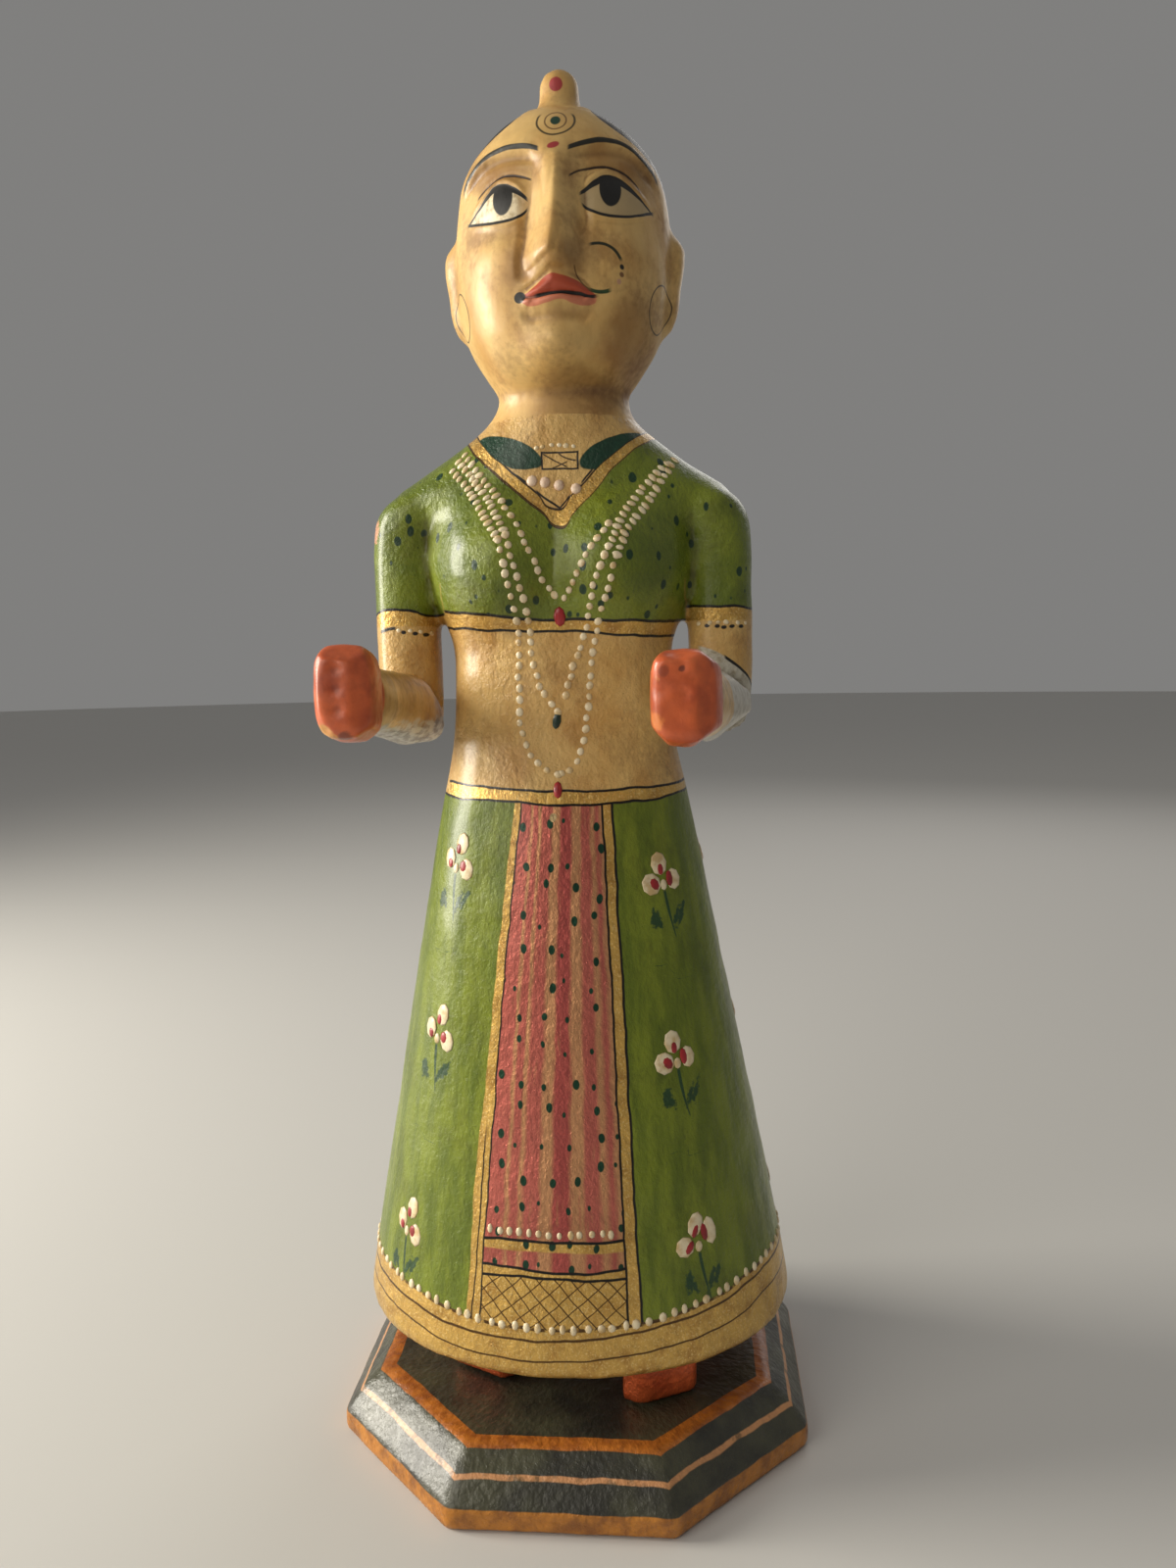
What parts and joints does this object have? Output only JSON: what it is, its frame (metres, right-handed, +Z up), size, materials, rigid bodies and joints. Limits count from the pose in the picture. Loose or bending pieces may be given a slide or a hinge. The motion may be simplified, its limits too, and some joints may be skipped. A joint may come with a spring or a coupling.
{
  "type": "painted wooden doll of a standing woman",
  "caption": "Carved and painted wooden doll of a woman in a bell skirt, forearms held out, standing on a low eight-sided plinth.",
  "frame": {"origin": "centre of the plinth's underside, on the table", "axes": "+Z up, the doll faces -Y and +X is on the viewer's right as one faces it"},
  "size_m": [0.0868, 0.0954, 0.2481],
  "materials": {
    "plinth": "dark green-grey gloss paint with orange lines and an ochre foot, worn at the edges",
    "figure": "leaf green, ochre, gold and pink paint under an aged gloss varnish",
    "left_forearm": "ochre paint with an orange fist, aged gloss varnish",
    "right_forearm": "ochre paint with an orange fist, aged gloss varnish"
  },
  "bodies": {
    "root": {"plinth": "plinth", "figure": "figure", "left_forearm": "left_forearm", "right_forearm": "right_forearm"}
  },
  "joints": []
}
